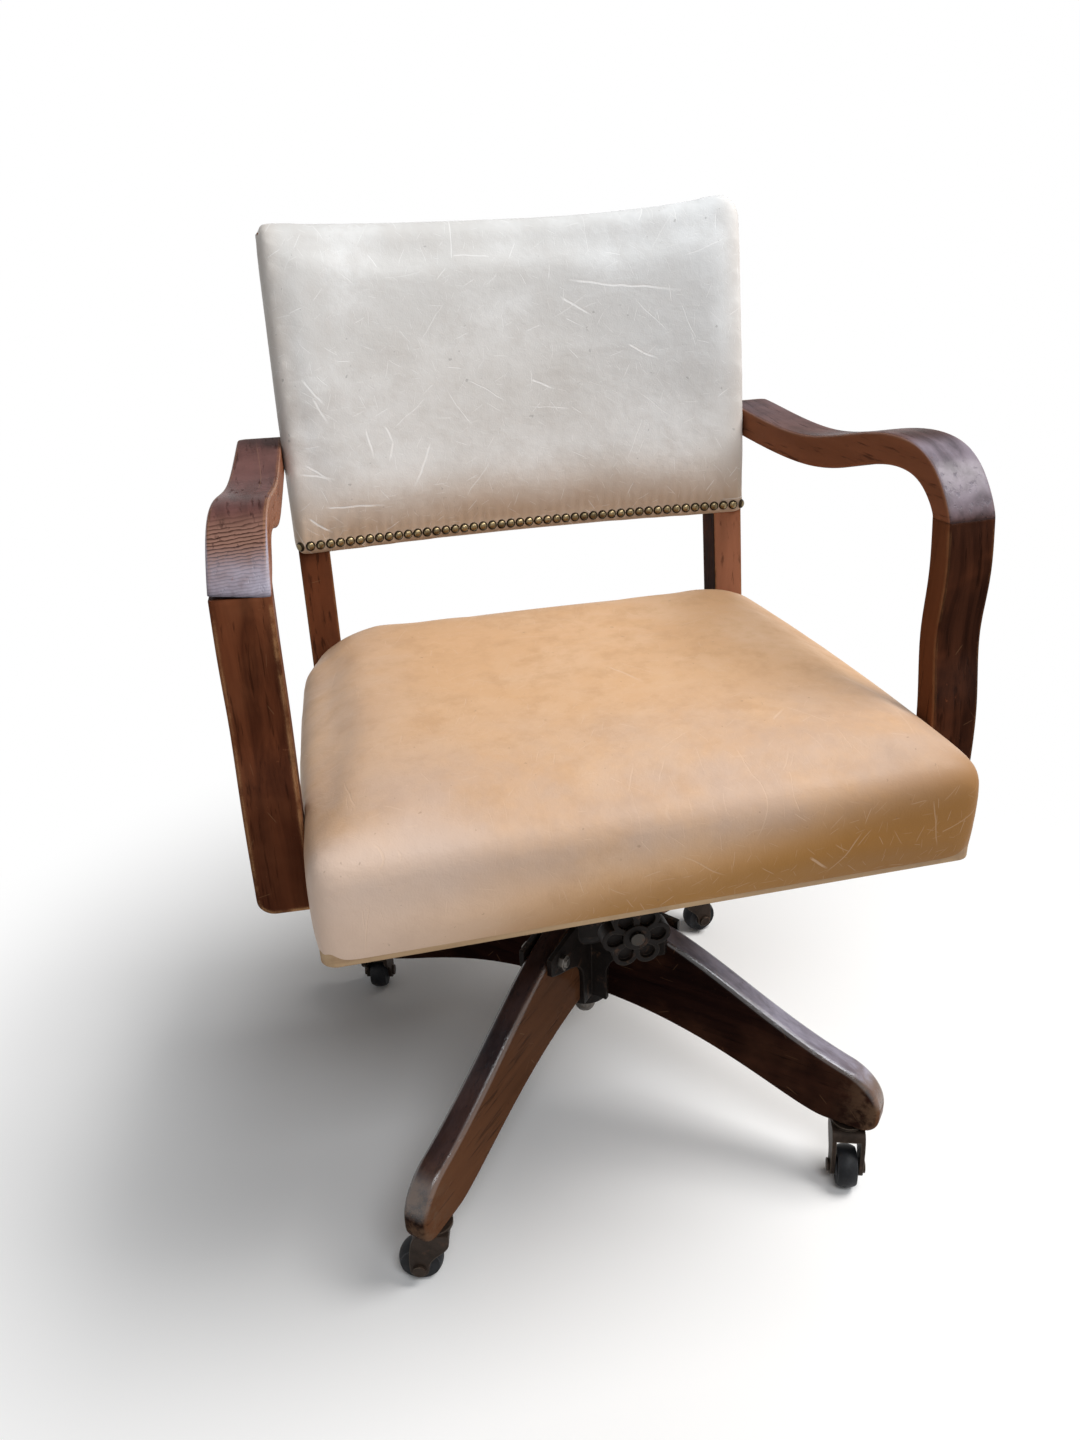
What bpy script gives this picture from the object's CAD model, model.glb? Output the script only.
from math import cos, pi, radians, sin, tan

import bmesh
import bpy
import numpy as np
from mathutils import Matrix, Vector
from mathutils.bvhtree import BVHTree


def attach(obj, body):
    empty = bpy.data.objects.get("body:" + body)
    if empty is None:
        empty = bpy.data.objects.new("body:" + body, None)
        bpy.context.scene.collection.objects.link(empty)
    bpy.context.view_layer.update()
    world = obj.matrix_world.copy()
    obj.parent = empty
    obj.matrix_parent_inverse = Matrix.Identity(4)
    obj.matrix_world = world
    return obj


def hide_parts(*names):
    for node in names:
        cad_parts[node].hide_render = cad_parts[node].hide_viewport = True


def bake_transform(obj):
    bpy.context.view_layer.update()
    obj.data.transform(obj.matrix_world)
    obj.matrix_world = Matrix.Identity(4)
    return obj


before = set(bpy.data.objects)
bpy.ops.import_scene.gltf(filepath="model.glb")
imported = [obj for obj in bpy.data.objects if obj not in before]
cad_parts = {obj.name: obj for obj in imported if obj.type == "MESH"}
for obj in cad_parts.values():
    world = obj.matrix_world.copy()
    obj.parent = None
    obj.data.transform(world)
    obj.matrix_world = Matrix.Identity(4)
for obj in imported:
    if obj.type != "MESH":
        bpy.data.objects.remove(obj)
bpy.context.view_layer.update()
scene = bpy.context.scene
MM = 0.001

# Sizes in millimetres in the chair's own frame, with counts and the legs' angles in degrees. The back's are
# taken upright, from the stiles' front at the seat's underside, before it is leant
SEAT_UNDERSIDE, SEAT_FRONT, SEAT_HALF_WIDTH, SIDE_SPLAY = 381.0, 246.0, 246.6, 0.0555
SEAT_WALL, SEAT_CROWN, CROWN_INSET = 58.0, 105.0, 130.0
STILE_FRONT, BACK_LEAN = 166.0, radians(8.68)
BACK_BOTTOM, BACK_TOP, BACK_HALF_WIDTH = 171.0, 476.0, 234.5
BACK_BOW, BACK_PAD_BOW, BACK_PAD_EDGE, BACK_REAR = 30.0, 27.0, 11.0, 38.0
NAIL_COUNT, NAIL_RADIUS, NAIL_RISE, NAIL_HEIGHT = 48, 4.7, 9.0, 2.9
SIDE_NAILS, SIDE_NAIL_PITCH, SIDE_NAIL_X, SIDE_NAIL_RISE = 29, 9.9, 224.0, 10.0
FOOT_NAILS, FOOT_NAIL_PITCH, FOOT_NAIL_X = 44, 9.95, -214.0
STILE_OUTER, STILE_TOP, STILE_COVER = 232.0, 464.0, 1.4
POST_REAR, POST_FRONT, ARM_JOINT = -143.0, -168.0, 628.0
LEATHER_VOXEL, HIDE_THICKNESS = 5.0, 1.8
LEG_ANGLES = {"front_left": 226.8, "front_right": 316.8, "rear_left": 136.8, "rear_right": 46.8}


class Material:
    """A node material with short calls for the nodes that the surfaces below share."""

    def __init__(self, name):
        self.data = bpy.data.materials.new(name)
        self.data.use_nodes = True
        self.tree = self.data.node_tree
        self.tree.nodes.clear()
        output = self.node("ShaderNodeOutputMaterial")
        self.shader = self.node("ShaderNodeBsdfPrincipled")
        self.tree.links.new(self.shader.outputs[0], output.inputs[0])
        self.place = self.node("ShaderNodeTexCoord").outputs["Object"]

    def node(self, kind, **settings):
        node = self.tree.nodes.new(kind)
        for key, value in settings.items():
            setattr(node, key, value)
        return node

    def feed(self, socket, value):
        if isinstance(value, bpy.types.NodeSocket):
            self.tree.links.new(value, socket)
        else:
            socket.default_value = value

    def set(self, **sockets):
        for key, value in sockets.items():
            self.feed(self.shader.inputs[key.replace("_", " ")], value)

    def mapped(self, scale=(1, 1, 1), turn=(0, 0, 0), shift=(0, 0, 0), source=None):
        node = self.node("ShaderNodeMapping")
        self.feed(node.inputs["Vector"], source or self.place)
        node.inputs["Location"].default_value = shift
        node.inputs["Rotation"].default_value = [radians(t) for t in turn]
        node.inputs["Scale"].default_value = scale
        return node.outputs[0]

    def noise(self, source, scale, detail=4.0, rough=0.55, distortion=0.0):
        node = self.node("ShaderNodeTexNoise")
        self.feed(node.inputs["Vector"], source)
        node.inputs["Scale"].default_value = scale
        node.inputs["Detail"].default_value = detail
        node.inputs["Roughness"].default_value = rough
        node.inputs["Distortion"].default_value = distortion
        return node.outputs["Fac"]

    def cells(self, source, scale, feature="F1"):
        node = self.node("ShaderNodeTexVoronoi", feature=feature)
        self.feed(node.inputs["Vector"], source)
        node.inputs["Scale"].default_value = scale
        return node.outputs["Distance"]

    def math(self, operation, a, b=0.0, clamp=False):
        node = self.node("ShaderNodeMath", operation=operation, use_clamp=clamp)
        self.feed(node.inputs[0], a)
        self.feed(node.inputs[1], b)
        return node.outputs[0]

    def vector(self, operation, a, b=(0, 0, 0)):
        node = self.node("ShaderNodeVectorMath", operation=operation)
        self.feed(node.inputs[0], a)
        self.feed(node.inputs[1], b)
        return node.outputs["Value" if operation in ("DOT_PRODUCT", "LENGTH") else "Vector"]

    def rise(self, source, low, high):
        """0 below low, 1 above high, smooth between."""
        node = self.node("ShaderNodeMapRange", interpolation_type="SMOOTHSTEP")
        self.feed(node.inputs["Value"], source)
        node.inputs["From Min"].default_value = low
        node.inputs["From Max"].default_value = high
        return node.outputs[0]

    def fall(self, source, low, high):
        return self.math("SUBTRACT", 1.0, self.rise(source, low, high))

    def times(self, *sources):
        result = sources[0]
        for source in sources[1:]:
            result = self.math("MULTIPLY", result, source)
        return result

    def most(self, *sources):
        result = sources[0]
        for source in sources[1:]:
            result = self.math("MAXIMUM", result, source)
        return result

    def blend(self, share, first, second, kind="MIX"):
        node = self.node("ShaderNodeMix", data_type="RGBA", blend_type=kind)
        self.feed(node.inputs[0], share)
        for socket, value in ((node.inputs[6], first), (node.inputs[7], second)):
            self.feed(socket, value if isinstance(value, bpy.types.NodeSocket) else (*value, 1.0))
        return node.outputs[2]

    def spread(self, source, low, high):
        """Maps 0..1 to low..high for a roughness or a like number."""
        return self.math("ADD", self.math("MULTIPLY", source, high - low), low)

    def axes(self, source=None):
        node = self.node("ShaderNodeSeparateXYZ")
        self.feed(node.inputs[0], source or self.place)
        return node.outputs

    def joined(self, x, y, z=0.0):
        node = self.node("ShaderNodeCombineXYZ")
        for socket, value in zip(node.inputs, (x, y, z)):
            self.feed(socket, value)
        return node.outputs[0]

    def bump(self, height, distance, normal=None, strength=1.0):
        node = self.node("ShaderNodeBump")
        self.feed(node.inputs["Height"], height)
        node.inputs["Strength"].default_value = strength
        node.inputs["Distance"].default_value = distance
        if normal is not None:
            self.feed(node.inputs["Normal"], normal)
        return node.outputs[0]

    def soft_edges(self, radius):
        """The rounded normal of the piece's edges, and how far it turns from the plain one."""
        bevel = self.node("ShaderNodeBevel", samples=6)
        bevel.inputs["Radius"].default_value = radius
        plain = self.node("ShaderNodeNewGeometry").outputs["Normal"]
        same = self.vector("DOT_PRODUCT", bevel.outputs[0], plain)
        return bevel.outputs[0], self.math("SUBTRACT", 1.0, same, clamp=True)

    def scratches(self, plane, scale, length, width, share):
        """Short strokes scattered over a plane: one in some cells, each turned its own way."""
        cell = self.node("ShaderNodeTexVoronoi", voronoi_dimensions="2D")
        self.feed(cell.inputs["Vector"], plane)
        cell.inputs["Scale"].default_value = scale
        shades = self.node("ShaderNodeSeparateColor")
        self.feed(shades.inputs[0], cell.outputs["Color"])
        turned = self.node("ShaderNodeVectorRotate", rotation_type="Z_AXIS")
        self.feed(turned.inputs["Vector"], self.vector("SUBTRACT", plane, cell.outputs["Position"]))
        self.feed(turned.inputs["Angle"], self.math("MULTIPLY", shades.outputs[0], 2 * pi))
        along = self.axes(turned.outputs[0])
        thin = self.fall(self.math("ABSOLUTE", along[1]), width * 0.35, width)
        short = self.fall(self.math("ABSOLUTE", along[0]), length * 0.5, length)
        chosen = self.math("LESS_THAN", shades.outputs[1], share)
        return self.times(thin, short, chosen, self.spread(shades.outputs[2], 0.3, 1.0))

    def stroke(self, plane, start, end, width):
        """One long scratch from start to end on a plane, fading to its ends."""
        run = (end[0] - start[0], end[1] - start[1], 0.0)
        squared = run[0] ** 2 + run[1] ** 2
        offset = self.vector("SUBTRACT", plane, (start[0], start[1], 0.0))
        share = self.math("DIVIDE", self.vector("DOT_PRODUCT", offset, run), squared, clamp=True)
        near = self.node("ShaderNodeVectorMath", operation="SCALE")
        self.feed(near.inputs[0], run)
        self.feed(near.inputs["Scale"], share)
        far = self.vector("LENGTH", self.vector("SUBTRACT", offset, near.outputs[0]))
        fade = self.times(self.rise(share, 0.0, 0.15), self.fall(share, 0.6, 1.0))
        return self.times(self.fall(far, width * 0.4, width), self.math("ADD", fade, 0.25, clamp=True))


# Wood: stained oak with pores, streaks, rubbed edges, growth rings on the left arm and a pale haze on crests
RUBBED, BLOOM = (0.40, 0.20, 0.085), (0.35, 0.33, 0.40)
RING_GROUND, SCUFF, BARE_TOE = (0.33, 0.19, 0.14), (0.30, 0.17, 0.09), (0.13, 0.075, 0.045)


def oak(name, dark, middle, light, scale, turn=(0, 0, 0), gloss=0.3, rings=0.0, worn=0.5, toe=None,
        faded=None, bloom=0.0, shine=0.15, rubbed=RUBBED, edge_size=0.0035, foot_dirt=0.0):
    """Stained oak. Optional marks: growth rings where it faces forward, a toe that turns bare between two
    radii, a faded side given by its way and tone, a pale haze (bloom) on crests, and dirt at the foot."""
    m = Material(name)
    facing = m.node("ShaderNodeTexCoord").outputs["Normal"]
    _, rearward, upward = m.axes(facing)
    grain = m.mapped(scale=scale, source=m.mapped(turn=turn))
    streak = m.noise(grain, 55, 6, 0.6, 0.4)
    pores = m.rise(m.noise(grain, 240, 3, 0.6), 0.56, 0.7)
    cloud = m.noise(m.place, 9, 4, 0.6)
    colour = m.blend(m.rise(streak, 0.32, 0.7), dark, middle)
    colour = m.blend(m.times(m.rise(cloud, 0.42, 0.72), 0.7), colour, light)
    if rings:
        bend = m.fall(rearward, -0.45, 0.0)
        colour = m.blend(m.times(bend, m.rise(upward, 0.6, 0.85), 0.6), colour, RING_GROUND)
        wave = m.node("ShaderNodeTexWave", wave_type="BANDS", bands_direction="Z", wave_profile="SAW")
        m.feed(wave.inputs["Vector"], m.mapped(turn=(3, 3, 0)))
        for key, value in (("Scale", 165), ("Distortion", 4.0), ("Detail", 2), ("Detail Scale", 0.6)):
            wave.inputs[key].default_value = value
        line = m.times(m.rise(wave.outputs["Fac"], 0.4, 0.95), bend)
        colour = m.blend(m.times(line, rings), colour, [c * 0.5 for c in dark])
    if faded:
        way, tone = faded
        toward = m.rise(m.vector("DOT_PRODUCT", facing, way), 0.35, 0.8)
        colour = m.blend(m.times(toward, m.spread(streak, 0.45, 1.15)), colour, tone)
    if foot_dirt:
        colour = m.blend(m.times(m.fall(m.axes()[2], 0.42, 0.56), foot_dirt), colour, dark)
    colour = m.blend(m.times(pores, 0.55), colour, [c * 0.35 for c in dark])
    smooth, edge = m.soft_edges(edge_size)
    patchy = m.rise(m.noise(m.place, 38, 5, 0.7), 0.32, 0.60)
    seam = m.math("ABSOLUTE", m.math("SUBTRACT", m.axes()[2], ARM_JOINT * MM))
    rub = m.times(m.rise(edge, 0.008, 0.09), patchy, m.rise(seam, 0.004, 0.009), worn)
    colour = m.blend(rub, colour, rubbed)
    if bloom:
        if toe:
            crest = m.rise(upward, 0.6, 0.82)
        elif rings:
            band = m.times(m.rise(upward, 0.1, 0.3), m.fall(upward, 0.72, 0.88))
            crest = m.times(bend, band, m.spread(line, 1.0, 0.8))
        else:
            crest = m.times(m.fall(rearward, -0.3, 0.05), m.rise(upward, 0.25, 0.65))
        haze = m.times(crest, m.spread(m.rise(streak, 0.3, 0.7), 0.45, 1.0), bloom)
        colour = m.blend(haze, colour, BLOOM)
    chips = m.times(m.rise(m.noise(m.mapped(shift=(3, 1, 2)), 120, 4, 0.75), 0.66, 0.72), 0.5)
    colour = m.blend(chips, colour, light)
    scuffs = m.scratches(m.joined(m.axes()[0], m.axes()[2]), 48, 0.006, 0.0004, 0.3)
    colour = m.blend(m.times(scuffs, 0.3), colour, SCUFF)
    if toe:
        reach = m.vector("LENGTH", m.joined(m.axes()[0], m.axes()[1]))
        bare = m.times(m.rise(reach, *toe), m.rise(m.noise(m.place, 60, 5, 0.7), 0.38, 0.62))
        colour = m.blend(m.times(bare, 0.75), colour, BARE_TOE)
    m.set(Base_Color=colour)
    m.set(Roughness=m.spread(m.most(pores, rub, m.times(cloud, 0.5)), gloss - 0.06, gloss + 0.2))
    crown = m.times(m.rise(upward, 0.1, 0.4), m.fall(upward, 0.72, 0.92))
    m.set(Specular_IOR_Level=m.spread(crown, 0.004, shine))
    height = m.math("SUBTRACT", m.times(streak, 0.25), m.times(pores, 0.6))
    m.set(Normal=m.bump(height, 0.0006, smooth, 0.55))
    return m.data


# Leather: fine grain, blotches, scattered pale scratches and a few long ones
def leather(name, plane_of, base, pale, deep, tint, strokes, share, mark, speck, lift):
    """share: how many of the cells hold a scratch; mark, speck: strength of scratches and dark specks;
    lift: how far the scratches go towards white."""
    m = Material(name)
    x, y, z = m.axes()
    flat = plane_of(m, x, y, z)
    wander = m.joined(m.times(m.noise(m.place, 30, 2), 0.006), m.times(m.noise(m.place, 26, 2), 0.006))
    bent = m.vector("ADD", flat, wander)
    blotch = m.noise(m.place, 7.5, 5, 0.62, 0.3)
    mottle = m.noise(m.mapped(shift=(5, 2, 1)), 38, 5, 0.65)
    colour = m.blend(m.rise(blotch, 0.40, 0.68), base, pale)
    colour = m.blend(m.times(m.rise(mottle, 0.42, 0.72), 0.6), colour, deep)
    colour = tint(m, colour, x, y, z)
    short = m.scratches(bent, 42, 0.0085, 0.00055, share)
    fine = m.scratches(m.mapped(shift=(0.31, 0.17, 0), source=bent), 95, 0.005, 0.00035, share)
    longer = m.scratches(m.mapped(shift=(0.7, 0.4, 0), source=bent), 15, 0.024, 0.0007, share * 0.8)
    marks = m.most(m.times(short, 0.75), m.times(fine, 0.55), m.times(longer, 0.8))
    for start, end in strokes:
        marks = m.most(marks, m.stroke(bent, start, end, 0.0013))
    colour = m.blend(m.times(marks, mark), colour, [lift + (1 - lift) * c for c in pale])
    specks = m.rise(m.noise(m.mapped(shift=(9, 4, 2)), 170, 2, 0.5), 0.735, 0.76)
    colour = m.blend(m.times(specks, speck), colour, [c * 0.3 for c in deep])
    m.set(Base_Color=colour)
    m.set(Roughness=m.spread(m.most(mottle, marks), 0.36, 0.62))
    m.set(Specular_IOR_Level=0.2)
    grain = m.cells(m.place, 720, "SMOOTH_F1")
    warped = m.vector("ADD", m.place, m.joined(m.times(mottle, 0.01), m.times(blotch, 0.012)))
    creases = m.cells(warped, 120)
    folds = m.noise(m.mapped(scale=(1, 2.2, 1.6), turn=(0, 0, 25)), 15, 3, 0.5, 0.6)
    coarse = m.math("ADD", m.times(creases, 0.35), m.times(mottle, 1.1))
    height = m.math("ADD", m.times(grain, 0.25), coarse)
    height = m.math("ADD", height, m.times(folds, 3.0))
    height = m.math("SUBTRACT", height, m.times(marks, 0.35))
    m.set(Normal=m.bump(height, 0.0007, strength=0.5))
    return m.data


SEAT_RIDGE, SEAT_RIDGE_RIGHT, SEAT_REAR = (0.47, 0.355, 0.295), (0.36, 0.24, 0.17), (0.42, 0.255, 0.135)
SEAT_FACE, SEAT_FACE_LEFT, SEAT_FACE_RIGHT = (0.325, 0.15, 0.028), (0.66, 0.52, 0.44), (0.21, 0.09, 0.018)
BACK_FOOT, BACK_COOL = (0.42, 0.27, 0.155), (0.545, 0.575, 0.605)
BACK_MIDDLE, BACK_SIDE = (0.50, 0.48, 0.455), (0.58, 0.44, 0.32)


def seat_tint(m, colour, x, y, z):
    patch = m.rise(m.noise(m.mapped(shift=(2, 7, 3)), 9, 5, 0.65), 0.22, 0.70)
    ridge = m.times(m.rise(z, 0.405, 0.45), m.fall(y, -0.215, -0.06), patch)
    left = m.times(m.fall(x, -0.23, -0.12), m.rise(z, 0.44, 0.47), patch)
    colour = m.blend(m.times(m.most(ridge, m.times(left, 0.7)), 0.68), colour, SEAT_RIDGE)
    colour = m.blend(m.times(ridge, m.rise(x, 0.03, 0.2), 0.35), colour, SEAT_RIDGE_RIGHT)
    colour = m.blend(m.times(m.rise(y, 0.06, 0.17), m.fall(x, 0.0, 0.2), 0.4), colour, SEAT_REAR)
    height = m.math("SUBTRACT", z, m.times(x, 0.19))
    face = m.fall(y, -0.236, -0.205)
    front = m.times(face, m.fall(height, 0.386, 0.447))
    colour = m.blend(m.times(front, 0.95), colour, SEAT_FACE)
    colour = m.blend(m.times(face, m.fall(x, -0.26, -0.04), 0.7), colour, SEAT_FACE_LEFT)
    end = m.times(m.rise(x, 0.02, 0.2), front)
    return m.blend(m.times(end, 0.55), colour, SEAT_FACE_RIGHT)


def back_tint(m, colour, x, y, z):
    patch = m.spread(m.noise(m.mapped(shift=(1, 4, 8)), 8, 4, 0.6), 0.55, 1.25)
    foot = m.times(m.fall(z, 0.552, 0.64), patch)
    colour = m.blend(m.times(foot, 0.88), colour, BACK_FOOT)
    cool = m.times(m.rise(x, -0.05, 0.2), m.rise(z, 0.60, 0.74), patch)
    colour = m.blend(m.times(cool, 0.4), colour, BACK_COOL)
    centre = m.fall(m.math("ABSOLUTE", m.math("ADD", x, 0.03)), 0.05, 0.2)
    middle = m.times(centre, m.fall(m.math("ABSOLUTE", m.math("SUBTRACT", z, 0.69)), 0.02, 0.09), patch)
    colour = m.blend(m.times(middle, 0.5), colour, BACK_MIDDLE)
    side = m.times(m.rise(m.math("ABSOLUTE", x), 0.205, 0.236), patch)
    return m.blend(m.times(side, 0.32), colour, BACK_SIDE)


# Long scratches, each from its start to its end, in metres on the plane that its leather is given below
BACK_STROKES = (
    ((0.062, 0.788), (0.171, 0.776)), ((0.052, 0.774), (0.083, 0.757)),
    ((0.118, 0.728), (0.146, 0.712)), ((-0.196, 0.599), (-0.142, 0.594)),
    ((-0.150, 0.668), (-0.146, 0.640)), ((-0.205, 0.717), (-0.188, 0.694)),
    ((-0.198, 0.701), (-0.186, 0.676)), ((-0.088, 0.648), (-0.108, 0.610)),
    ((-0.214, 0.590), (-0.195, 0.574)), ((-0.217, 0.632), (-0.187, 0.625)),
    ((-0.211, 0.640), (-0.190, 0.623)), ((-0.131, 0.669), (-0.126, 0.654)),
    ((-0.126, 0.654), (-0.131, 0.637)), ((0.018, 0.700), (0.040, 0.690)),
)
SEAT_STROKES = (
    ((0.09, 0.02), (0.13, -0.05)), ((-0.05, -0.71), (-0.052, -0.74)), ((0.115, -0.655), (0.13, -0.64)),
    ((-0.17, -0.30), (-0.12, -0.25)), ((0.02, -0.52), (0.04, -0.56)),
)


# Painted iron, steel, brass and the casters
def metal(name, colour, worn, metallic, rough, grit, rusty=0.7):
    m = Material(name)
    smooth, edge = m.soft_edges(0.0016)
    dirt = m.noise(m.place, 42, 6, 0.65)
    cast = m.noise(m.mapped(shift=(4, 4, 1)), 420, 3, 0.6)
    base = m.blend(m.rise(dirt, 0.35, 0.7), colour, [c * 0.45 for c in colour])
    rust = m.times(m.rise(m.noise(m.mapped(shift=(1, 9, 5)), 75, 5, 0.7), 0.56, 0.7), rusty)
    base = m.blend(rust, base, (0.085, 0.045, 0.028))
    rub = m.times(m.rise(edge, 0.012, 0.12), m.rise(dirt, 0.36, 0.58))
    base = m.blend(m.times(rub, 0.7), base, worn)
    m.set(Base_Color=base, Metallic=metallic, Specular_IOR_Level=0.1)
    m.set(Roughness=m.spread(m.most(dirt, rust), rough, rough + 0.28))
    m.set(Normal=m.bump(m.math("ADD", cast, m.times(dirt, 0.6)), grit, smooth, 0.6))
    return m.data


def softwood(name):
    m = Material(name)
    grain = m.mapped(scale=(0.05, 1, 1))
    streak = m.noise(grain, 90, 5, 0.6, 0.3)
    saw = m.noise(m.mapped(scale=(1, 0.1, 0.1)), 420, 2)
    colour = m.blend(m.rise(streak, 0.3, 0.7), (0.30, 0.18, 0.09), (0.47, 0.32, 0.18))
    stain = m.times(m.rise(m.noise(m.place, 12, 5, 0.65), 0.5, 0.75), 0.6)
    colour = m.blend(stain, colour, (0.17, 0.1, 0.055))
    smooth, _ = m.soft_edges(0.001)
    m.set(Base_Color=colour, Roughness=m.spread(streak, 0.6, 0.9))
    m.set(Normal=m.bump(m.math("ADD", saw, streak), 0.0006, smooth, 0.5))
    return m.data


GRAIN_UP, GRAIN_ALONG = (1, 1, 0.06), (1, 0.07, 1)
ARM_DARK, ARM_MIDDLE = (0.045, 0.013, 0.0065), (0.155, 0.047, 0.02)
LEG_DARK, LEG_MIDDLE, LEG_LIGHT = (0.008, 0.0035, 0.003), (0.024, 0.009, 0.006), (0.065, 0.026, 0.014)
RIGHT_DARK, RIGHT_MIDDLE = (0.015, 0.0055, 0.0035), (0.055, 0.019, 0.010)
INNER, LEG_FADED, STILE_FADED = (0.27, 0.105, 0.052), (0.13, 0.055, 0.026), (0.36, 0.145, 0.08)
upright_oak = oak("upright_oak", ARM_DARK, ARM_MIDDLE, (0.21, 0.078, 0.036), GRAIN_UP, worn=0.95,
                  rubbed=(0.52, 0.28, 0.13), edge_size=0.006, foot_dirt=0.55)
left_stile = oak("left_stile", RIGHT_DARK, (0.10, 0.034, 0.016), ARM_MIDDLE, GRAIN_UP, worn=0.6)
right_upright = oak("right_upright", RIGHT_DARK, RIGHT_MIDDLE, ARM_MIDDLE, GRAIN_UP, gloss=0.28, worn=0.95,
                    faded=((-1, 0, 0), (0.19, 0.068, 0.03)))
right_stile = oak("right_stile", RIGHT_DARK, RIGHT_MIDDLE, ARM_MIDDLE, GRAIN_UP, worn=0.6,
                  faded=((0, -1, 0), STILE_FADED))
left_bent = oak("left_bent", (0.055, 0.020, 0.017), (0.125, 0.048, 0.043), (0.185, 0.085, 0.075), GRAIN_ALONG,
                gloss=0.27, rings=0.95, worn=0.95, faded=((1, 0, 0), INNER), bloom=0.95, edge_size=0.005)
right_bent = oak("right_bent", (0.032, 0.016, 0.014), (0.10, 0.052, 0.05), (0.145, 0.075, 0.065), GRAIN_ALONG,
                 gloss=0.27, worn=0.95, faded=((-1, 0, 0), INNER), bloom=0.5)
frame_wood = softwood("frame_wood")
iron = metal("iron", (0.013, 0.0095, 0.008), (0.05, 0.037, 0.028), 0.0, 0.36, 0.0004)
caster_iron = metal("caster_iron", (0.040, 0.027, 0.020), (0.15, 0.12, 0.09), 0.35, 0.36, 0.0003)
steel = metal("steel", (0.17, 0.155, 0.14), (0.4, 0.38, 0.35), 1.0, 0.32, 0.0002, 0.8)
spring_steel = metal("spring_steel", (0.05, 0.045, 0.04), (0.2, 0.19, 0.18), 0.9, 0.3, 0.0002)
wheel_black = metal("wheel_black", (0.027, 0.028, 0.031), (0.13, 0.13, 0.135), 0.0, 0.3, 0.0003, 0.15)
brass = metal("brass", (0.25, 0.19, 0.105), (0.66, 0.56, 0.38), 1.0, 0.14, 0.0001, 0.8)
tarnish = metal("tarnish", (0.035, 0.024, 0.013), (0.12, 0.09, 0.05), 0.6, 0.4, 0.0001)
back_leather = leather(
    "back_leather", lambda m, x, y, z: m.joined(x, z),
    base=(0.565, 0.56, 0.55), pale=(0.685, 0.69, 0.69), deep=(0.53, 0.515, 0.50),
    tint=back_tint, strokes=BACK_STROKES, share=0.7, mark=0.68, speck=0.35, lift=0.38,
)
seat_leather = leather(
    "seat_leather", lambda m, x, y, z: m.joined(x, m.math("SUBTRACT", y, z)),
    base=(0.60, 0.365, 0.20), pale=(0.63, 0.41, 0.25), deep=(0.50, 0.295, 0.155),
    tint=seat_tint, strokes=SEAT_STROKES, share=0.75, mark=0.42, speck=0.3, lift=0.14,
)


def dress(material, *names):
    for name in names:
        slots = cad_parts[name].data.materials
        slots.clear()
        slots.append(material)


dress(upright_oak, "left_arm_post", "arm_plugs")
dress(left_stile, "left_stile")
dress(right_stile, "right_stile")
dress(right_upright, "right_arm_post")
dress(left_bent, "left_arm")
dress(right_bent, "right_arm")
dress(frame_wood, "front_rail", "rear_rail", "left_rail", "right_rail", "corner_blocks", "seat_bearers",
      "seat_board", "back_top_rail", "back_bottom_rail", "arm_dowels")
dress(iron, "hub_casting", "swivel_sleeve", "lift_nut", "tilt_yoke", "seat_spider", "tension_knob",
      "spring_washer")
dress(steel, "leg_bolts", "thrust_washer", "spindle", "pivot_pin", "pivot_nut", "spider_screws",
      "arm_screws", "stile_bolts")
dress(spring_steel, "tension_spring", "tension_rod")
dress(caster_iron, "caster_sockets")
for leg, angle in LEG_ANGLES.items():
    leg_oak = oak("oak_" + leg, LEG_DARK, LEG_MIDDLE, LEG_LIGHT, (0.07, 1, 1), (0, 0, -angle), 0.14,
                  worn=0.5, toe=(0.262, 0.312), faded=((0.73, -0.68, 0), LEG_FADED), shine=0.9,
                  rubbed=(0.30, 0.29, 0.34), bloom=1.0 if leg == "front_right" else 0.08)
    dress(leg_oak, "leg_" + leg)
    dress(caster_iron, "caster_fork_" + leg, "caster_axle_" + leg)
    dress(wheel_black, "caster_wheel_" + leg)


# Mesh helpers
def new_piece(name, points, faces, material, body):
    mesh = bpy.data.meshes.new(name)
    mesh.from_pydata([tuple(p) for p in points], [], faces)
    mesh.update()
    piece = bpy.data.objects.new(name, mesh)
    scene.collection.objects.link(piece)
    mesh.materials.append(material)
    if body:
        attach(piece, body)
    return piece


def bake_modifiers(piece):
    bpy.context.view_layer.update()
    found = piece.evaluated_get(bpy.context.evaluated_depsgraph_get())
    mesh = bpy.data.meshes.new_from_object(found)
    piece.modifiers.clear()
    piece.data = mesh


def coordinates(mesh):
    flat = np.zeros(len(mesh.vertices) * 3)
    mesh.vertices.foreach_get("co", flat)
    return flat.reshape(-1, 3)


def set_coordinates(mesh, points):
    mesh.vertices.foreach_set("co", np.asarray(points, float).ravel())
    mesh.update()


def eased(mesh, values, rounds, free):
    """Moves the value at each free point towards the mean of its neighbours, so that ridges round over."""
    pairs = np.zeros(len(mesh.edges) * 2, int)
    mesh.edges.foreach_get("vertices", pairs)
    a, b = pairs.reshape(-1, 2).T
    count = np.bincount(np.concatenate((a, b)), minlength=len(values))[:, None]
    values = values.copy()
    for _ in range(rounds):
        total = np.zeros_like(values)
        np.add.at(total, a, values[b])
        np.add.at(total, b, values[a])
        values += 0.5 * free[:, None] * (total / count - values)
    return values


def rounded_over(piece, rounds, free):
    set_coordinates(piece.data, eased(piece.data, coordinates(piece.data), rounds, free))


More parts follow.
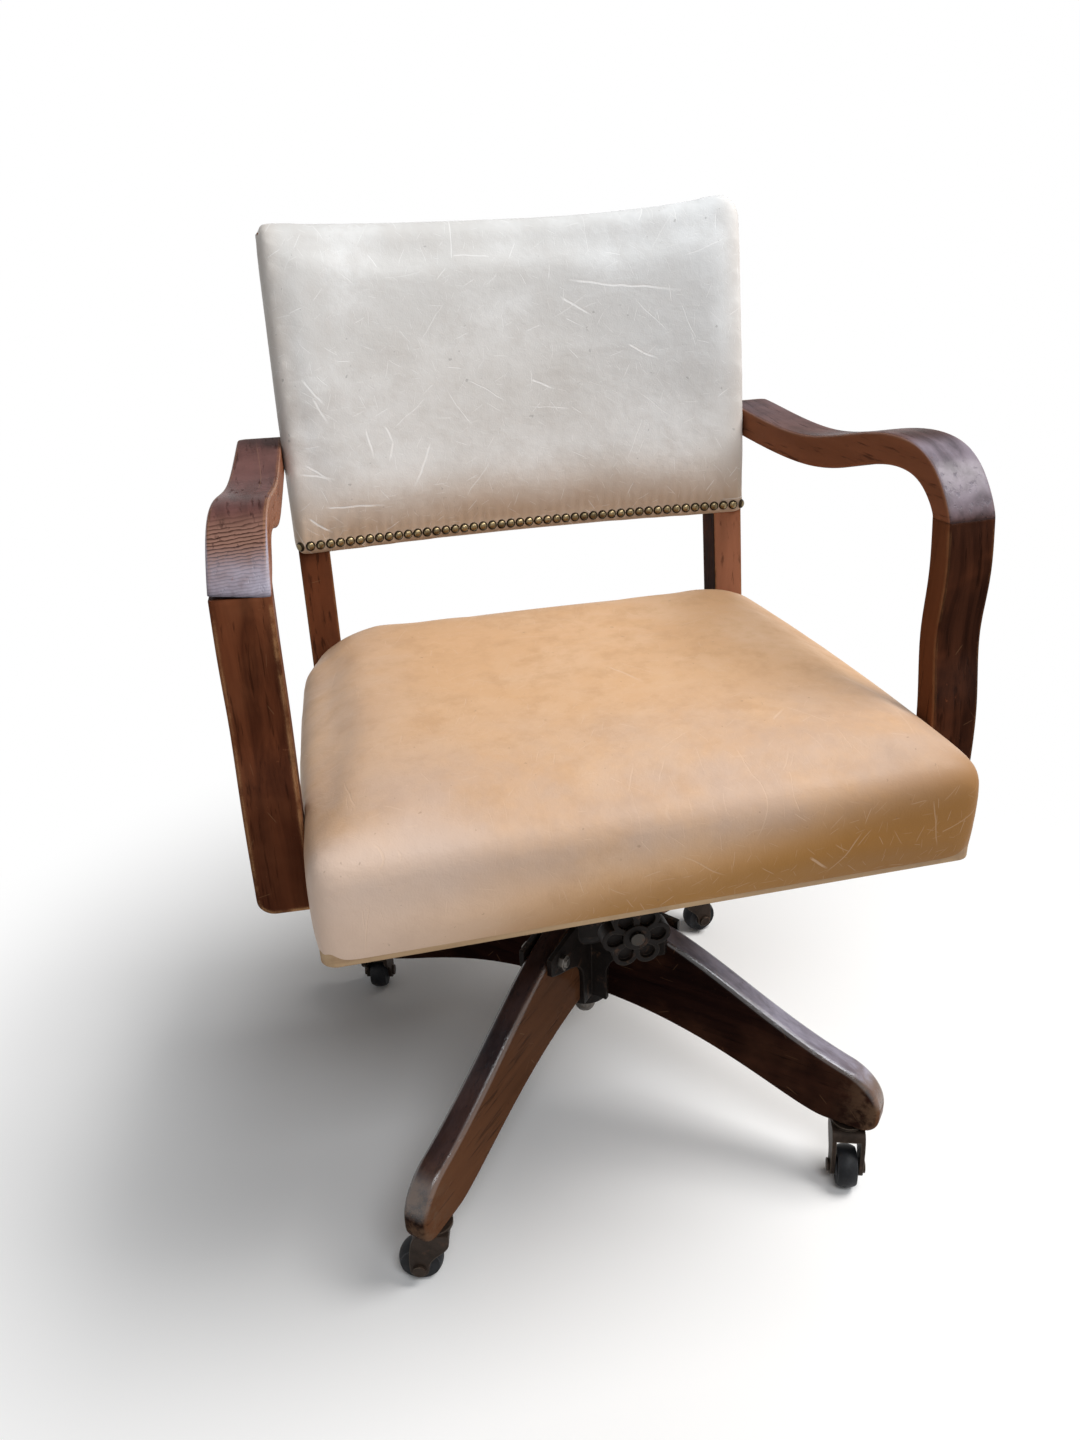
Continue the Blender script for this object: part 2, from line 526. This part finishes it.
def rounded_loop(corners, radii, bulges, steps=14):
    """A closed outline through corners in turn: each side bowed in its middle, each corner eased."""
    corners = [np.array(c, float) for c in corners]
    count = len(corners)
    points = []
    for i, here in enumerate(corners):
        before, after = corners[i - 1], corners[(i + 1) % count]
        way_in = (here - before) / np.linalg.norm(here - before)
        way_out = (after - here) / np.linalg.norm(after - here)
        start = here - way_in * radii[i]
        end = here + way_out * radii[i]
        for t in np.linspace(0, 1, 6):
            points.append((1 - t) ** 2 * start + 2 * t * (1 - t) * here + t * t * end)
        last = after - way_out * radii[(i + 1) % count]
        side = np.array((way_out[1], -way_out[0]))
        for t in np.linspace(0, 1, steps + 2)[1:-1]:
            points.append(end + (last - end) * t + side * bulges[i] * 4 * t * (1 - t))
    return points


def stacked(name, loops, material):
    """A closed form through loops of equal count, given as lists of points in millimetres."""
    count = len(loops[0])
    points = [np.array(p) * MM for loop in loops for p in loop]
    faces = [tuple(reversed(range(count)))]
    for k in range(len(loops) - 1):
        for i in range(count):
            j = (i + 1) % count
            faces.append((k * count + i, k * count + j, (k + 1) * count + j, (k + 1) * count + i))
    faces.append(tuple(range((len(loops) - 1) * count, len(loops) * count)))
    return new_piece(name, points, faces, material, None)


def even_mesh(piece, voxel):
    remesh = piece.modifiers.new("even", "REMESH")
    remesh.mode = "VOXEL"
    remesh.voxel_size = voxel
    material = piece.data.materials[0]
    bake_modifiers(piece)
    piece.data.materials.clear()
    piece.data.materials.append(material)


def puffed(piece, held, cap):
    """Swells the form with cloth under pressure; held points stay, the others move out up to the cap."""
    before = coordinates(piece.data)
    group = piece.vertex_groups.new(name="held")
    group.add([int(i) for i in np.nonzero(held > 0.5)[0]], 1.0, "REPLACE")
    cloth = piece.modifiers.new("puff", "CLOTH")
    cloth.settings.quality = 5
    cloth.settings.use_pressure = True
    cloth.settings.uniform_pressure_force = 4.0
    cloth.settings.effector_weights.gravity = 0.0
    cloth.settings.vertex_group_mass = "held"
    cloth.point_cache.frame_start = 1
    cloth.point_cache.frame_end = 20
    for step in range(1, 21):
        scene.frame_set(step)
    found = piece.evaluated_get(bpy.context.evaluated_depsgraph_get())
    after = coordinates(found.data)
    piece.modifiers.remove(cloth)
    piece.vertex_groups.remove(group)
    scene.frame_set(1)
    outward = np.zeros(before.size)
    piece.data.vertices.foreach_get("normal", outward)
    outward = outward.reshape(-1, 3)
    push = np.clip(((after - before) * outward).sum(axis=1), 0.0, cap)
    push = eased(piece.data, push[:, None], 12, 1.0 - held)
    set_coordinates(piece.data, before + outward * push)


def finer(piece):
    subdivide = piece.modifiers.new("finer", "SUBSURF")
    subdivide.levels = 1
    subdivide.render_levels = 1
    bake_modifiers(piece)
    piece.data.shade_smooth()


# Seat cushion
def half_width(y, inset):
    return SEAT_HALF_WIDTH - SIDE_SPLAY * y - inset


def seat_loop(rise, inset, side_bulge, rear_bulge):
    front = -SEAT_FRONT + inset
    rear = STILE_FRONT + tan(BACK_LEAN) * rise - 0.5 - inset / 2
    front_x, rear_x = half_width(front, inset), half_width(rear, inset)
    corners = ((-front_x, front), (front_x, front), (rear_x, rear), (-rear_x, rear))
    front_round, rear_round = 17 + inset * 0.5, 8 + inset * 0.5
    outline = rounded_loop(corners, (front_round, front_round, rear_round, rear_round),
                           (0, side_bulge, rear_bulge, side_bulge))
    return [(p[0], p[1], SEAT_UNDERSIDE + rise) for p in outline]


loops = [seat_loop(-1.2, 2.5, 0, 0), seat_loop(5, 1.0, 0.5, 0), seat_loop(32, 0, 3, 0.5)]
for k in range(13):
    turn = k / 12 * pi / 2
    inset = CROWN_INSET * (1 - cos(turn)) ** 1.5
    rise = SEAT_WALL + (SEAT_CROWN - 3 - SEAT_WALL) * sin(turn) ** 0.8
    loops.append(seat_loop(rise, inset, 6, 8 * k / 12 + 0.5))
seat = stacked("seat_leather_cushion", loops, seat_leather)
even_mesh(seat, LEATHER_VOXEL * MM)
points = coordinates(seat.data) / MM
foot = points[:, 2] < SEAT_UNDERSIDE + 4
rounded_over(seat, 10, np.where(foot, 0.25, 1.0))
puffed(seat, np.where(coordinates(seat.data)[:, 2] / MM < SEAT_UNDERSIDE + 14, 1.0, 0.0), 0.008)
rounded_over(seat, 4, np.ones(len(seat.data.vertices)) * 0.8)


# The slack corner's reach from the side, from the rear and in height, and how far it goes
SLACK_SIDE, SLACK_REAR, SLACK_LOW, SLACK_SPAN = 70, 80, 30, 40
SLACK_DROP, SLACK_DRAW = 15, 9


def slack_corner(points):
    """Lets the rear left corner of the crown sink and draw in."""
    p = points / MM
    rise = p[:, 2] - SEAT_UNDERSIDE
    rear = STILE_FRONT + tan(BACK_LEAN) * rise
    beside = np.clip((-p[:, 0] - half_width(p[:, 1], SLACK_SIDE)) / SLACK_SIDE, 0, 1)
    behind = np.clip((p[:, 1] - rear + SLACK_REAR) / SLACK_REAR, 0, 1)
    sunk = beside * behind * np.clip((rise - SLACK_LOW) / SLACK_SPAN, 0, 1)
    p[:, 2] -= SLACK_DROP * sunk
    p[:, 0] += SLACK_DRAW * sunk
    return p * MM


# How close the leather comes to posts and stiles, and over what width it eases towards them
POST_GAP, POST_MARGIN, POST_EASE = 0.2, 3, 16
STILE_GAP, STILE_EASE_FROM, STILE_EASE = 0.6, 186, 14


def clear_of_frame(points):
    """Keeps the leather off the arm posts and the stiles, which press into it."""
    p = points / MM
    face = half_width(p[:, 1], 0.0) - POST_GAP
    beyond = np.maximum(POST_FRONT - POST_MARGIN - p[:, 1], p[:, 1] - POST_REAR - POST_MARGIN)
    near_post = np.clip(1 - beyond / POST_EASE, 0, 1)
    over = np.maximum(np.abs(p[:, 0]) - face, 0) * near_post
    p[:, 0] -= np.sign(p[:, 0]) * over
    stile = STILE_FRONT + tan(BACK_LEAN) * (p[:, 2] - SEAT_UNDERSIDE) - STILE_GAP
    near_stile = np.clip((np.abs(p[:, 0]) - STILE_EASE_FROM) / STILE_EASE, 0, 1)
    p[:, 1] -= np.maximum(p[:, 1] - stile, 0) * near_stile
    return p * MM


set_coordinates(seat.data, clear_of_frame(slack_corner(coordinates(seat.data))))
shape = bmesh.new()
shape.from_mesh(seat.data)
under = []
for face in shape.faces:
    c = face.calc_center_median() / MM
    inside = min(half_width(c.y, 0) - abs(c.x), c.y + SEAT_FRONT, STILE_FRONT - c.y)
    if c.z < SEAT_UNDERSIDE + 3 and inside > 21:
        under.append(face)
bmesh.ops.delete(shape, geom=under, context="FACES")
shape.to_mesh(seat.data)
shape.free()
hide = seat.modifiers.new("hide", "SOLIDIFY")
hide.thickness = HIDE_THICKNESS * MM
hide.offset = -1.0
bake_modifiers(seat)
finer(seat)
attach(seat, "seat")
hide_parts("seat_cushion")


# Back pad, upright and then leant
def leant(points):
    p = np.asarray(points, float)
    y = STILE_FRONT + p[:, 1] * cos(BACK_LEAN) + p[:, 2] * sin(BACK_LEAN)
    z = SEAT_UNDERSIDE - p[:, 1] * sin(BACK_LEAN) + p[:, 2] * cos(BACK_LEAN)
    return np.column_stack((p[:, 0], y, z))


def upright(points):
    p = np.asarray(points, float)
    y, z = p[:, 1] - STILE_FRONT, p[:, 2] - SEAT_UNDERSIDE
    depth = y * cos(BACK_LEAN) - z * sin(BACK_LEAN)
    height = y * sin(BACK_LEAN) + z * cos(BACK_LEAN)
    return np.column_stack((p[:, 0], depth, height))


def pad_loop(height, front, inset, rear):
    w = BACK_HALF_WIDTH - inset
    corners = ((-w, -front), (w, -front), (w, rear), (-w, rear))
    outline = rounded_loop(corners, (9, 9, 4, 4), (-BACK_PAD_BOW, 0, BACK_BOW, 0))
    return leant([(p[0], p[1], height) for p in outline])


REAR_FACE = BACK_REAR - 2.5
loops = [
    pad_loop(BACK_BOTTOM, BACK_PAD_EDGE * 0.86, 0, REAR_FACE),
    pad_loop(BACK_BOTTOM + 14, BACK_PAD_EDGE * 0.9, 0, REAR_FACE),
    pad_loop(BACK_BOTTOM + 30, BACK_PAD_EDGE + 1, 0, REAR_FACE),
    pad_loop(BACK_BOTTOM + 55, BACK_PAD_EDGE + 3, 0, REAR_FACE),
    pad_loop((BACK_BOTTOM + BACK_TOP) / 2, BACK_PAD_EDGE + 4, 0, REAR_FACE),
    pad_loop(BACK_TOP - 45, BACK_PAD_EDGE + 2, 0, REAR_FACE),
    pad_loop(BACK_TOP - 16, BACK_PAD_EDGE - 1, 0.5, REAR_FACE),
    pad_loop(BACK_TOP - 6, BACK_PAD_EDGE - 4, 1.5, REAR_FACE),
    pad_loop(BACK_TOP, BACK_PAD_EDGE - 12, 4, REAR_FACE),
]
back = stacked("back_leather_pad", loops, back_leather)
even_mesh(back, LEATHER_VOXEL * MM)
local = upright(coordinates(back.data) / MM)
bowed = BACK_BOW * (1 - (local[:, 0] / BACK_HALF_WIDTH) ** 2)
tacked = (local[:, 2] < BACK_BOTTOM + 16) | (local[:, 1] > 18 + bowed)
rounded_over(back, 9, np.where(local[:, 2] < BACK_BOTTOM + 16, 0.35, 1.0))
puffed(back, tacked.astype(float), 0.006)
rounded_over(back, 3, np.where(tacked, 0.2, 0.8))


# How far in from the side, back from the front and down from the top a stile's corner is kept covered
COVER_SIDE, COVER_DEPTH, COVER_DOWN = 26, 24, 120


def clear_of_stiles(p):
    """Keeps the leather outside the stiles' top corners; p is upright, in millimetres."""
    side = np.sign(p[:, 0])
    gaps = np.column_stack((STILE_OUTER - side * p[:, 0], p[:, 1], STILE_TOP - p[:, 2])) + STILE_COVER
    within = (gaps > 0).all(axis=1) & (p[:, 1] < COVER_DEPTH)
    within &= (gaps[:, 0] < COVER_SIDE) & (gaps[:, 2] < COVER_DOWN)
    least = gaps.argmin(axis=1)
    for axis, way in ((0, side), (1, -1.0), (2, 1.0)):
        p[:, axis] += np.where(within & (least == axis), way * gaps[:, axis], 0.0)
    return p


def nail_places():
    span = BACK_HALF_WIDTH - NAIL_RADIUS
    return [-span + 2 * span * k / (NAIL_COUNT - 1) for k in range(NAIL_COUNT)]


finer(back)

# The top edge rises to the right, where its corner draws in
local = upright(coordinates(back.data) / MM)
share = local[:, 0] / BACK_HALF_WIDTH
columns = np.linspace(-1, 1, 41)
tops = np.array([local[np.abs(share - c) < 0.06, 2].max() for c in columns])
tops = np.convolve(np.pad(tops, 2, mode="edge"), np.ones(5) / 5, mode="valid")
wanted = BACK_TOP - 4.5 + 12 * np.clip(columns, 0, 1) ** 2.5 + 1.5 * np.clip(-columns, 0, 1) ** 3
high = np.clip((local[:, 2] - BACK_TOP + 90) / 90, 0, 1)
local[:, 2] += np.interp(share, columns, wanted - tops) * high ** 2
corner = 9 * np.clip((local[:, 2] - BACK_TOP + 12) / 18, 0, 1) ** 2
local[:, 0] -= corner * np.clip((share - 0.8) / 0.2, 0, 1)
local = clear_of_stiles(local)

# Ripples above the nails, and slanting pulls near the lower corners: place, run per rise and depth
PULLS = ((-206, 0.55, 2.2), (-182, 0.35, 1.6), (-160, 0.2, 1.0), (214, -0.4, 1.4))
lower = BACK_BOTTOM + NAIL_RISE
front = local[:, 1] < 12 + BACK_PAD_BOW * (1 - (local[:, 0] / BACK_HALF_WIDTH) ** 2)
pitch = 2 * (BACK_HALF_WIDTH - NAIL_RADIUS) / (NAIL_COUNT - 1)
ripple = np.cos(2 * pi * (local[:, 0] + BACK_HALF_WIDTH - NAIL_RADIUS) / pitch)
above = np.clip((local[:, 2] - lower) / 10, 0, 1) * np.exp(-np.clip(local[:, 2] - lower, 0, None) / 9)
local[:, 1] += np.where(front, 0.9 * ripple * above, 0)
for x, run, deep in PULLS:
    line = np.exp(-((local[:, 0] - x - run * (local[:, 2] - lower)) / 5) ** 2)
    length = np.clip((local[:, 2] - lower) / 6, 0, 1) * np.clip(1 - (local[:, 2] - lower) / 46, 0, 1)
    local[:, 1] += np.where(front, deep * line * length, 0)
set_coordinates(back.data, leant(local) * MM)
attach(back, "seat")
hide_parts("back_pad")


# Outside back: taut leather over its panel, with a rolled edge
def rear_sheet():
    wide, rows, columns = 230.0, 25, 61
    low, high = BACK_BOTTOM + 3.0, BACK_TOP - 13.0
    points, faces = [], []
    for layer in (0, 1):
        for r in range(rows):
            for c in range(columns):
                u, v = 2 * c / (columns - 1) - 1, r / (rows - 1)
                edge = min(1 - abs(u), 2 * min(v, 1 - v) * 0.6)
                swell = 1 - np.exp(-edge / 0.09)
                x = u * wide
                base = BACK_REAR + BACK_BOW * (1 - (x / BACK_HALF_WIDTH) ** 2)
                y = base - 3.5 + (4.6 * swell if layer else 0)
                points.append((x, y, low + (high - low) * v))
    offset = rows * columns
    for r in range(rows - 1):
        for c in range(columns - 1):
            a = r * columns + c
            quad = (a, a + 1, a + columns + 1, a + columns)
            faces.append(tuple(reversed([offset + i for i in quad])))
            faces.append(quad)
    rim = list(range(columns))
    rim += [r * columns + columns - 1 for r in range(1, rows)]
    rim += [(rows - 1) * columns + c for c in range(columns - 2, -1, -1)]
    rim += [r * columns for r in range(rows - 2, 0, -1)]
    for a, b in zip(rim, rim[1:] + rim[:1]):
        faces.append((b, a, offset + a, offset + b))
    piece = new_piece("outside_back_leather", leant(points) * MM, faces, back_leather, "seat")
    piece.data.shade_smooth()
    return piece


outside = rear_sheet()
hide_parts("back_panel")


# Dome nails: seated on the leather where a line through each place meets it
def dome_nails(name, seats):
    radius, height = NAIL_RADIUS * MM, NAIL_HEIGHT * MM
    rings = ((1.0, -0.25), (1.03, 0.06), (0.96, 0.2), (0.9, 0.32), (0.72, 0.66), (0.45, 0.9), (0.18, 0.99))
    sides = 14
    points, faces, dark = [], [], []
    for place, normal in seats:
        across = normal.orthogonal().normalized()
        other = normal.cross(across)
        first = len(points)
        for share, rise in rings:
            for s in range(sides):
                a = 2 * pi * s / sides
                flat = across * (cos(a) * radius * share) + other * (sin(a) * radius * share)
                points.append(place + flat + normal * (rise * height))
        points.append(place + normal * height)
        for k in range(len(rings) - 1):
            for s in range(sides):
                t = (s + 1) % sides
                low, high = first + k * sides, first + (k + 1) * sides
                faces.append((low + s, low + t, high + t, high + s))
                dark.append(k < 4)
        top = first + len(rings) * sides
        for s in range(sides):
            faces.append((top - sides + s, top - sides + (s + 1) % sides, top))
            dark.append(False)
        faces.append(tuple(first + s for s in reversed(range(sides))))
        dark.append(True)
    piece = new_piece(name, points, faces, brass, "seat")
    piece.data.materials.append(tarnish)
    piece.data.polygons.foreach_set("material_index", [int(d) for d in dark])
    piece.data.shade_smooth()
    return piece


def seats_on(tree, places, way):
    found = []
    direction = Vector((leant([way]) - leant([(0, 0, 0)]))[0]).normalized()
    for place in places:
        start = Vector(leant([place])[0] * MM)
        hit, normal, _, _ = tree.ray_cast(start - direction * 0.06, direction)
        if hit is not None:
            if normal.dot(direction) > 0:
                normal = -normal
            found.append((hit, normal))
    return found


def tree_of(piece):
    mesh = piece.data
    return BVHTree.FromPolygons([v.co for v in mesh.vertices], [tuple(p.vertices) for p in mesh.polygons])


pad_tree = tree_of(back)
places = [(x, 0, BACK_BOTTOM + NAIL_RISE) for x in nail_places()]
front_nails = dome_nails("brass_nails_front", seats_on(pad_tree, places, (0, 1, 0)))
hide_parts("back_nails")
sheet_tree = tree_of(outside)
places = []
for x in (-SIDE_NAIL_X, SIDE_NAIL_X):
    places += [(x, BACK_REAR, BACK_BOTTOM + SIDE_NAIL_RISE + SIDE_NAIL_PITCH * k) for k in range(SIDE_NAILS)]
for k in range(FOOT_NAILS):
    places.append((FOOT_NAIL_X + FOOT_NAIL_PITCH * k, BACK_REAR + BACK_BOW, BACK_BOTTOM + NAIL_RISE))
dome_nails("brass_nails_rear", seats_on(sheet_tree, places, (0, -1, 0)))


# Tension spring: its rear half gives way to the tongue, its front half follows the cup on the rod
COIL_STEPS, COIL_TURNS = 32, 6.5
COIL_END = int(COIL_STEPS * COIL_TURNS)


def coil_half(name, first, last):
    steps, sides = COIL_STEPS, 10
    radius, wire, length = 17.0, 3.4, 104.0
    rear, height = -36.4, 304.0
    pitch = (length - 2 * wire) / COIL_TURNS
    points, faces = [], []
    for i in range(first, last + 1):
        angle = 2 * pi * i / steps
        out = Vector((cos(angle), 0, sin(angle)))
        way = Vector((-sin(angle), -pitch / (2 * pi * radius), cos(angle))).normalized()
        across = out.cross(way)
        centre = Vector((0, rear - wire - pitch * i / steps, height)) + out * radius
        for s in range(sides):
            a = 2 * pi * s / sides
            points.append((centre + out * (wire * cos(a)) + across * (wire * sin(a))) * MM)
    rings = last - first + 1
    for i in range(rings - 1):
        for s in range(sides):
            t = (s + 1) % sides
            faces.append((i * sides + s, i * sides + t, (i + 1) * sides + t, (i + 1) * sides + s))
    faces.append(tuple(reversed(range(sides))))
    faces.append(tuple(range((rings - 1) * sides, rings * sides)))
    piece = new_piece(name, points, faces, spring_steel, None)
    piece.data.shade_smooth()
    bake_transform(piece)
    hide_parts("tension_spring")


coil_half("tension_coil_rear", 0, COIL_END // 2)
coil_half("tension_coil_front", COIL_END // 2, COIL_END)


# Floor, light and camera
def floor_material():
    m = Material("floor")
    m.tree.nodes.remove(m.shader)
    output = [n for n in m.tree.nodes if n.bl_idname == "ShaderNodeOutputMaterial"][0]
    rays = m.node("ShaderNodeLightPath").outputs
    seen = m.most(rays["Is Camera Ray"], rays["Is Glossy Ray"], rays["Is Transmission Ray"])
    reach = m.vector("LENGTH", m.joined(m.axes()[0], m.axes()[1]))
    plain = m.node("ShaderNodeBsdfDiffuse")
    plain.inputs["Color"].default_value = (0.94, 0.94, 0.94, 1)
    white = m.node("ShaderNodeEmission")
    mixed = m.node("ShaderNodeMixShader")
    m.feed(mixed.inputs[0], m.times(seen, m.rise(reach, 0.32, 0.92)))
    m.feed(mixed.inputs[1], plain.outputs[0])
    m.feed(mixed.inputs[2], white.outputs[0])
    m.feed(output.inputs[0], mixed.outputs[0])
    return m.data


corners = [(-14, -14, 0), (14, -14, 0), (14, 14, 0), (-14, 14, 0)]
floor = new_piece("floor", corners, [(0, 1, 2, 3)], floor_material(), None)

world = bpy.data.worlds.new("studio")
scene.world = world
world.use_nodes = True
tree = world.node_tree
tree.nodes.clear()
rays = tree.nodes.new("ShaderNodeLightPath").outputs
first = tree.nodes.new("ShaderNodeMath")
first.operation = "MAXIMUM"
second = tree.nodes.new("ShaderNodeMath")
second.operation = "MAXIMUM"
tree.links.new(rays["Is Camera Ray"], first.inputs[0])
tree.links.new(rays["Is Glossy Ray"], first.inputs[1])
tree.links.new(first.outputs[0], second.inputs[0])
tree.links.new(rays["Is Transmission Ray"], second.inputs[1])
dim = tree.nodes.new("ShaderNodeBackground")
dim.inputs["Color"].default_value = (1.0, 1.0, 1.0, 1)
dim.inputs["Strength"].default_value = 0.18
bright = tree.nodes.new("ShaderNodeBackground")
bright.inputs["Color"].default_value = (1, 1, 1, 1)
mixed = tree.nodes.new("ShaderNodeMixShader")
tree.links.new(second.outputs[0], mixed.inputs[0])
tree.links.new(dim.outputs[0], mixed.inputs[1])
tree.links.new(bright.outputs[0], mixed.inputs[2])
tree.links.new(mixed.outputs[0], tree.nodes.new("ShaderNodeOutputWorld").inputs[0])


def softbox(name, place, target, size, watts, colour):
    lamp = bpy.data.lights.new(name, "AREA")
    lamp.shape = "RECTANGLE"
    lamp.size, lamp.size_y = size
    lamp.energy = watts
    lamp.color = colour
    box = bpy.data.objects.new(name, lamp)
    scene.collection.objects.link(box)
    box.location = place
    box.rotation_euler = (Vector(target) - Vector(place)).to_track_quat("-Z", "Y").to_euler()


softbox("key", (1.35, -0.4, 2.45), (0, 0, 0.4), (1.3, 1.3), 62, (1.0, 0.985, 0.965))
softbox("sky", (0.1, -2.0, 2.7), (0, -0.1, 0.5), (1.4, 0.8), 32, (0.94, 0.97, 1.0))

# The photo's camera: its place in metres, and its focal length and height in the photo's pixels
CAMERA_PLACE, FOCAL_PIXELS, PHOTO_HEIGHT, SENSOR_MM = (-0.2377, -0.8895, 0.8797), 1110.7, 1440, 36.0
camera = bpy.data.objects.new("camera", bpy.data.cameras.new("camera"))
scene.collection.objects.link(camera)
azimuth, elevation, roll = radians(-12.65), radians(26.18), radians(-1.99)
forward = Vector((-sin(azimuth) * cos(elevation), cos(azimuth) * cos(elevation), -sin(elevation)))
level = forward.cross(Vector((0, 0, 1))).normalized()
upward = level.cross(forward)
right = level * cos(roll) + upward * sin(roll)
top = upward * cos(roll) - level * sin(roll)
turned = Matrix((right, top, -forward)).transposed().to_4x4()
turned.translation = CAMERA_PLACE
camera.matrix_world = turned
camera.data.sensor_fit = "VERTICAL"
camera.data.sensor_height = SENSOR_MM
camera.data.lens = SENSOR_MM * FOCAL_PIXELS / PHOTO_HEIGHT
scene.camera = camera
scene.view_settings.view_transform = "Standard"

bpy.context.view_layer.update()
